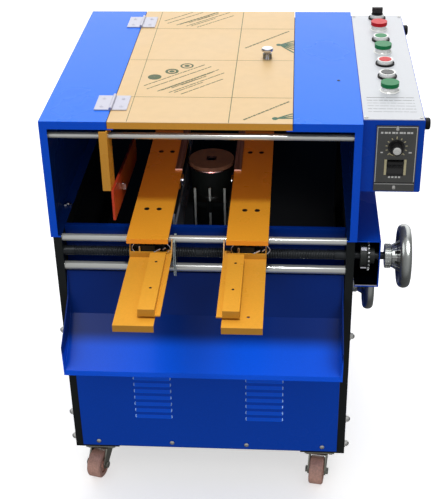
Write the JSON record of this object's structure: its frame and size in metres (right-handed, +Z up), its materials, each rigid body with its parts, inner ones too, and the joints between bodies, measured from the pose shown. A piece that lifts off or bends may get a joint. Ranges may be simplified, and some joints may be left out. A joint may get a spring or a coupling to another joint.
{
  "type": "cabbing machine",
  "caption": "Wheeled lapidary grinding cabinet: guarded chamber, screw-driven carriages over a lifting lap, hinged lid, side console.",
  "frame": {"origin": "on the floor, under the middle of the whole machine's bounding box", "axes": "+X to the operator's right, +Y to the back of the machine, +Z up"},
  "size_m": [0.5864, 0.7014, 0.714],
  "materials": {
    "frame_black": "satin",
    "blue_powder": "powder coat",
    "chrome": "polished",
    "amber_paint": "satin",
    "red_plate": "satin",
    "kraft_film": "protective film",
    "zinc": "zinc plated",
    "screw_steel": "oiled",
    "black_metal": "satin",
    "cast_grey": "machined",
    "smoke_plate": "smoked",
    "clear_plate": "gloss",
    "steel": "turned",
    "lap_abrasive": "abrasive",
    "console_grey": "satin",
    "black_rubber": "matte",
    "panel_grey": "satin",
    "green_cap": "gloss",
    "black_cap": "gloss",
    "red_cap": "gloss",
    "caster_red": "satin",
    "black_plastic": "satin"
  },
  "bodies": {
    "cabinet": {"frame": "frame_black", "upper_housing": "blue_powder", "front_panel": "blue_powder", "rear_panels": "blue_powder", "catch_tray": "blue_powder", "drive_box": "blue_powder", "console_box": "blue_powder", "guard_rod": "chrome", "hinge_fixed_leaves": "zinc", "guide_rods": "chrome", "lift_rods": "chrome", "console_plate": "console_grey", "button_bezels": "chrome", "console_bumpers": "black_rubber", "speed_panel": "panel_grey", "caster_plates": "zinc", "fasteners": "zinc", "power_inlet": "black_plastic"},
    "guard": {"guard_hanger": "amber_paint", "guard_plate": "red_plate"},
    "lid": {"lid_panel": "amber_paint", "lid_film": "kraft_film", "lid_knob": "chrome", "hinge_moving_leaves": "zinc"},
    "screw": {"lead_screw": "screw_steel", "screw_coupling": "black_metal", "handwheel": "chrome"},
    "left_arm": {"left_carriage": "cast_grey", "left_cover": "amber_paint", "left_tray": "amber_paint", "left_splash_plate": "clear_plate"},
    "right_arm": {"right_carriage": "cast_grey", "right_cover": "amber_paint", "right_tray": "amber_paint", "right_splash_plate": "smoke_plate"},
    "left_chuck": {"left_chuck": "chrome"},
    "right_chuck": {"right_chuck": "chrome"},
    "lift": {"lift_carrier": "black_metal", "spindle_motor": "black_metal"},
    "lap": {"spindle_shaft": "steel", "lap_disc": "lap_abrasive"},
    "lift_screw": {"lift_screw": "steel"},
    "lift_handwheel": {"lift_handwheel": "chrome"},
    "selector": {"selector_knob": "black_cap"},
    "speed_knob": {"speed_knob": "black_cap"},
    "rocker": {"rocker_switch": "black_cap"},
    "button_green_front": {"button_green_front": "green_cap"},
    "button_black": {"button_black": "black_cap"},
    "button_red_low": {"button_red_low": "red_cap"},
    "button_green_mid": {"button_green_mid": "green_cap"},
    "button_green_low": {"button_green_low": "green_cap"},
    "button_red_back": {"button_red_back": "red_cap"},
    "fork_fl": {"caster_fork_fl": "zinc"},
    "wheel_fl": {"caster_wheel_fl": "caster_red"},
    "fork_fr": {"caster_fork_fr": "zinc"},
    "wheel_fr": {"caster_wheel_fr": "caster_red"},
    "fork_rl": {"caster_fork_rl": "zinc"},
    "wheel_rl": {"caster_wheel_rl": "caster_red"},
    "fork_rr": {"caster_fork_rr": "zinc"},
    "wheel_rr": {"caster_wheel_rr": "caster_red"}
  },
  "joints": [
    {"name": "lid_hinge", "type": "hinge", "parent": "cabinet", "child": "lid", "pos_m": [-0.18625, 0.10035, 0.6955], "axis": [0, -1, 0], "range_deg": [0, 175]},
    {"name": "guard_slide", "type": "slide", "parent": "cabinet", "child": "guard", "axis": [1, 0, 0], "range_m": [-0.06, 0.3]},
    {"name": "screw_turn", "type": "hinge", "parent": "cabinet", "child": "screw", "pos_m": [-0.04825, -0.13665, 0.464], "axis": [1, 0, 0], "range_deg": [-5, 4805]},
    {"name": "left_arm_slide", "type": "slide", "parent": "cabinet", "child": "left_arm", "axis": [1, 0, 0], "range_m": [-0.04, 0]},
    {"name": "right_arm_slide", "type": "slide", "parent": "cabinet", "child": "right_arm", "axis": [1, 0, 0], "range_m": [-0.0001, 0.0401]},
    {"name": "left_chuck_spin", "type": "hinge", "parent": "left_arm", "child": "left_chuck", "pos_m": [-0.10825, 0.05435, 0.494], "axis": [1, 0, 0], "continuous": true},
    {"name": "right_chuck_spin", "type": "hinge", "parent": "right_arm", "child": "right_chuck", "pos_m": [0.00175, 0.05435, 0.494], "axis": [1, 0, 0], "continuous": true},
    {"name": "lift_turn", "type": "hinge", "parent": "cabinet", "child": "lift_handwheel", "pos_m": [0.05175, 0.07635, 0.279], "axis": [1, 0, 0], "range_deg": [-2405, 1205]},
    {"name": "lift_screw_turn", "type": "hinge", "parent": "cabinet", "child": "lift_screw", "pos_m": [-0.05425, 0.07635, 0.3], "axis": [0, 0, 1], "range_deg": [-1205, 2405]},
    {"name": "lift_slide", "type": "slide", "parent": "cabinet", "child": "lift", "axis": [0, 0, 1], "range_m": [-0.02, 0.01]},
    {"name": "lap_spin", "type": "hinge", "parent": "lift", "child": "lap", "pos_m": [-0.05425, 0.13235, 0.49], "axis": [0, 0, 1], "continuous": true},
    {"name": "selector_turn", "type": "hinge", "parent": "cabinet", "child": "selector", "pos_m": [0.23775, 0.31355, 0.7], "axis": [0, 0, -1], "range_deg": [0, 90]},
    {"name": "speed_knob_turn", "type": "hinge", "parent": "cabinet", "child": "speed_knob", "pos_m": [0.24275, -0.13365, 0.65], "axis": [0, 1, 0], "range_deg": [-150, 120]},
    {"name": "rocker_tip", "type": "hinge", "parent": "cabinet", "child": "rocker", "pos_m": [0.24275, -0.13215, 0.616], "axis": [-1, 0, 0], "range_deg": [0, 16]},
    {"name": "button_green_front_press", "type": "slide", "parent": "cabinet", "child": "button_green_front", "axis": [0, 0, -1], "range_m": [0, 0.003], "stiffness_N_per_m": 600, "springref_m": -0.002},
    {"name": "button_black_press", "type": "slide", "parent": "cabinet", "child": "button_black", "axis": [0, 0, -1], "range_m": [0, 0.003], "stiffness_N_per_m": 600, "springref_m": -0.002},
    {"name": "button_red_low_press", "type": "slide", "parent": "cabinet", "child": "button_red_low", "axis": [0, 0, -1], "range_m": [0, 0.003], "stiffness_N_per_m": 600, "springref_m": -0.002},
    {"name": "button_green_mid_press", "type": "slide", "parent": "cabinet", "child": "button_green_mid", "axis": [0, 0, -1], "range_m": [0, 0.003], "stiffness_N_per_m": 600, "springref_m": -0.002},
    {"name": "button_green_low_press", "type": "slide", "parent": "cabinet", "child": "button_green_low", "axis": [0, 0, -1], "range_m": [0, 0.003], "stiffness_N_per_m": 600, "springref_m": -0.002},
    {"name": "button_red_back_press", "type": "slide", "parent": "cabinet", "child": "button_red_back", "axis": [0, 0, -1], "range_m": [0, 0.003], "stiffness_N_per_m": 600, "springref_m": -0.002},
    {"name": "swivel_fl", "type": "hinge", "parent": "cabinet", "child": "fork_fl", "pos_m": [-0.24225, -0.12265, 0.055], "axis": [0, 0, 1], "continuous": true},
    {"name": "roll_fl", "type": "hinge", "parent": "fork_fl", "child": "wheel_fl", "pos_m": [-0.24854, -0.14788, 0.025], "axis": [0.9703, -0.2419, 0], "continuous": true},
    {"name": "swivel_fr", "type": "hinge", "parent": "cabinet", "child": "fork_fr", "pos_m": [0.14575, -0.12265, 0.055], "axis": [0, 0, 1], "continuous": true},
    {"name": "roll_fr", "type": "hinge", "parent": "fork_fr", "child": "wheel_fr", "pos_m": [0.14213, -0.1484, 0.025], "axis": [0.9903, -0.1392, 0], "continuous": true},
    {"name": "swivel_rl", "type": "hinge", "parent": "cabinet", "child": "fork_rl", "pos_m": [-0.24225, 0.32335, 0.055], "axis": [0, 0, 1], "continuous": true},
    {"name": "roll_rl", "type": "hinge", "parent": "fork_rl", "child": "wheel_rl", "pos_m": [-0.23774, 0.29774, 0.025], "axis": [0.9848, 0.1736, 0], "continuous": true},
    {"name": "swivel_rr", "type": "hinge", "parent": "cabinet", "child": "fork_rr", "pos_m": [0.14575, 0.32335, 0.055], "axis": [0, 0, 1], "continuous": true},
    {"name": "roll_rr", "type": "hinge", "parent": "fork_rr", "child": "wheel_rr", "pos_m": [0.14348, 0.29745, 0.025], "axis": [0.9962, -0.0872, 0], "continuous": true}
  ],
  "couplings": [
    {"joint": "screw_turn", "follows": "left_arm_slide", "rad_per_m": -2094.4},
    {"joint": "right_arm_slide", "follows": "left_arm_slide", "ratio": -1},
    {"joint": "lift_turn", "follows": "lift_slide", "rad_per_m": 2094.4},
    {"joint": "lift_screw_turn", "follows": "lift_slide", "rad_per_m": -2094.4}
  ]
}
